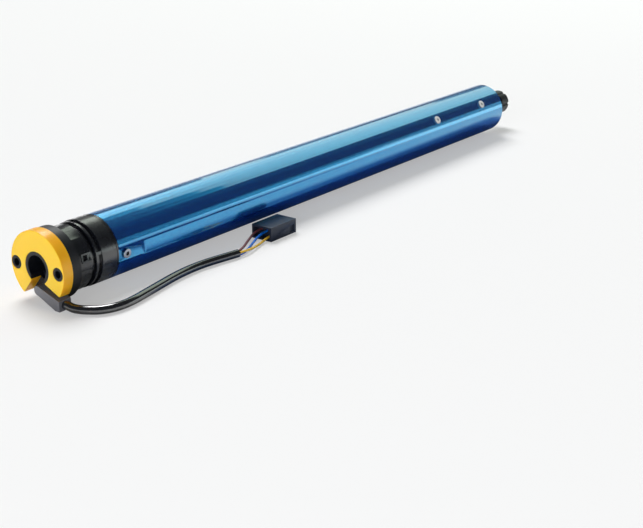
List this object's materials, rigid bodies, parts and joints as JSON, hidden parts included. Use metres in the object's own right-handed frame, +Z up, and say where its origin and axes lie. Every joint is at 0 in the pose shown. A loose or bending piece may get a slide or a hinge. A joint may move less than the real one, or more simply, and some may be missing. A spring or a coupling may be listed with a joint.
{
  "type": "tubular roller blind motor",
  "caption": "Tubular motor for a roller blind: round fixing head, turning crown, long painted tube, lobed output hub and a short cable with a plug-in connector.",
  "frame": {"origin": "on the motor's axis, in the plane of the head's face, midway between the two fixing holes", "axes": "+X along the axis from the head to the output hub, +Z up as the motor lies, +Y away from the side that the cable leaves by"},
  "size_m": [0.5288, 0.0673, 0.0432],
  "materials": {
    "cap_yellow": "satin gloss, moulded",
    "black_plastic": "satin, moulded",
    "dark_plastic": "smooth",
    "plug_grey": "satin",
    "connector_black": "satin",
    "tube_blue": "metallic lacquer",
    "bright_steel": "bright zinc",
    "white_metal": "white zinc",
    "brass": "bright",
    "cable_black": "gloss",
    "wire_brown": "gloss",
    "wire_blue": "gloss",
    "wire_yellow": "gloss",
    "board_green": "solder resist",
    "chip_black": "matt",
    "capacitor_sleeve": "gloss",
    "grey_plastic": "matt",
    "gear_plastic": "matt",
    "gear_steel": "oiled",
    "copper": "enamelled",
    "ferrite": "matt",
    "aluminium": "cast",
    "carbon": "matt"
  },
  "bodies": {
    "motor": {"head_cap": "cap_yellow", "bore_ring": "black_plastic", "fixing_bushes": "black_plastic", "threaded_inserts": "brass", "head_body": "black_plastic", "crown_washer": "dark_plastic", "tube_collar": "grey_plastic", "collar_screw": "bright_steel", "motor_tube": "tube_blue", "cable_plug": "plug_grey", "plug_contacts": "brass", "cable_jacket": "cable_black", "wire_brown": "wire_brown", "wire_blue": "wire_blue", "wire_yellow": "wire_yellow", "connector_housing": "connector_black", "connector_terminals": "brass", "counter_board": "board_green", "board_carrier": "grey_plastic", "circuit_board": "board_green", "capacitors": "capacitor_sleeve", "microcontroller": "chip_black", "radio_module": "bright_steel", "power_transistors": "chip_black", "rear_end_bell": "black_plastic", "motor_can": "bright_steel", "field_magnets": "ferrite", "front_end_bell": "aluminium", "rear_bearing": "brass", "front_bearing": "bright_steel", "brushes": "carbon", "brake_body": "gear_steel", "brake_coil": "copper", "gear_housing": "grey_plastic", "output_bearing": "grey_plastic", "output_seal": "cable_black", "tube_screws": "white_metal"},
    "crown": {"crown": "dark_plastic"},
    "counter": {"counter_pinion": "gear_plastic", "counter_magnet": "ferrite"},
    "rotor": {"rotor_shaft": "bright_steel", "armature_core": "gear_steel", "armature_windings": "copper", "commutator": "copper", "brake_disc": "carbon", "sun_gear": "gear_steel"},
    "carrier_1": {"carrier_1": "gear_steel"},
    "carrier_2": {"carrier_2": "gear_steel"},
    "output": {"output_carrier": "gear_steel", "output_hub": "black_plastic"},
    "planet_1a": {"planet_1a": "gear_plastic"},
    "planet_1b": {"planet_1b": "gear_plastic"},
    "planet_1c": {"planet_1c": "gear_plastic"},
    "planet_2a": {"planet_2a": "gear_plastic"},
    "planet_2b": {"planet_2b": "gear_plastic"},
    "planet_2c": {"planet_2c": "gear_plastic"},
    "planet_3a": {"planet_3a": "gear_steel"},
    "planet_3b": {"planet_3b": "gear_steel"},
    "planet_3c": {"planet_3c": "gear_steel"}
  },
  "joints": [
    {"name": "rotor_spin", "type": "hinge", "parent": "motor", "child": "rotor", "pos_m": [0.254, 0, 0], "axis": [1, 0, 0], "continuous": true},
    {"name": "carrier_1_spin", "type": "hinge", "parent": "motor", "child": "carrier_1", "pos_m": [0.355, 0, 0], "axis": [1, 0, 0], "continuous": true},
    {"name": "carrier_2_spin", "type": "hinge", "parent": "motor", "child": "carrier_2", "pos_m": [0.376, 0, 0], "axis": [1, 0, 0], "continuous": true},
    {"name": "output_spin", "type": "hinge", "parent": "motor", "child": "output", "pos_m": [0.475, 0, 0], "axis": [1, 0, 0], "continuous": true},
    {"name": "crown_spin", "type": "hinge", "parent": "motor", "child": "crown", "pos_m": [0.035, 0, 0], "axis": [1, 0, 0], "continuous": true},
    {"name": "counter_spin", "type": "hinge", "parent": "motor", "child": "counter", "pos_m": [0.037, 0, 0.0135], "axis": [1, 0, 0], "continuous": true},
    {"name": "planet_1a_spin", "type": "hinge", "parent": "carrier_1", "child": "planet_1a", "pos_m": [0.345, 0.009, 0], "axis": [1, 0, 0], "continuous": true},
    {"name": "planet_1b_spin", "type": "hinge", "parent": "carrier_1", "child": "planet_1b", "pos_m": [0.345, -0.0045, 0.00779], "axis": [1, 0, 0], "continuous": true},
    {"name": "planet_1c_spin", "type": "hinge", "parent": "carrier_1", "child": "planet_1c", "pos_m": [0.345, -0.0045, -0.00779], "axis": [1, 0, 0], "continuous": true},
    {"name": "planet_2a_spin", "type": "hinge", "parent": "carrier_2", "child": "planet_2a", "pos_m": [0.365, 0.009, 0], "axis": [1, 0, 0], "continuous": true},
    {"name": "planet_2b_spin", "type": "hinge", "parent": "carrier_2", "child": "planet_2b", "pos_m": [0.365, -0.0045, 0.00779], "axis": [1, 0, 0], "continuous": true},
    {"name": "planet_2c_spin", "type": "hinge", "parent": "carrier_2", "child": "planet_2c", "pos_m": [0.365, -0.0045, -0.00779], "axis": [1, 0, 0], "continuous": true},
    {"name": "planet_3a_spin", "type": "hinge", "parent": "output", "child": "planet_3a", "pos_m": [0.388, 0.009, 0], "axis": [1, 0, 0], "continuous": true},
    {"name": "planet_3b_spin", "type": "hinge", "parent": "output", "child": "planet_3b", "pos_m": [0.388, -0.0045, 0.00779], "axis": [1, 0, 0], "continuous": true},
    {"name": "planet_3c_spin", "type": "hinge", "parent": "output", "child": "planet_3c", "pos_m": [0.388, -0.0045, -0.00779], "axis": [1, 0, 0], "continuous": true}
  ],
  "couplings": [
    {"joint": "carrier_1_spin", "follows": "rotor_spin", "ratio": 0.2},
    {"joint": "carrier_2_spin", "follows": "rotor_spin", "ratio": 0.04},
    {"joint": "output_spin", "follows": "rotor_spin", "ratio": 0.008},
    {"joint": "counter_spin", "follows": "crown_spin", "ratio": 4},
    {"joint": "planet_1a_spin", "follows": "rotor_spin", "ratio": -0.53333},
    {"joint": "planet_1b_spin", "follows": "rotor_spin", "ratio": -0.53333},
    {"joint": "planet_1c_spin", "follows": "rotor_spin", "ratio": -0.53333},
    {"joint": "planet_2a_spin", "follows": "rotor_spin", "ratio": -0.10667},
    {"joint": "planet_2b_spin", "follows": "rotor_spin", "ratio": -0.10667},
    {"joint": "planet_2c_spin", "follows": "rotor_spin", "ratio": -0.10667},
    {"joint": "planet_3a_spin", "follows": "rotor_spin", "ratio": -0.021333},
    {"joint": "planet_3b_spin", "follows": "rotor_spin", "ratio": -0.021333},
    {"joint": "planet_3c_spin", "follows": "rotor_spin", "ratio": -0.021333}
  ]
}
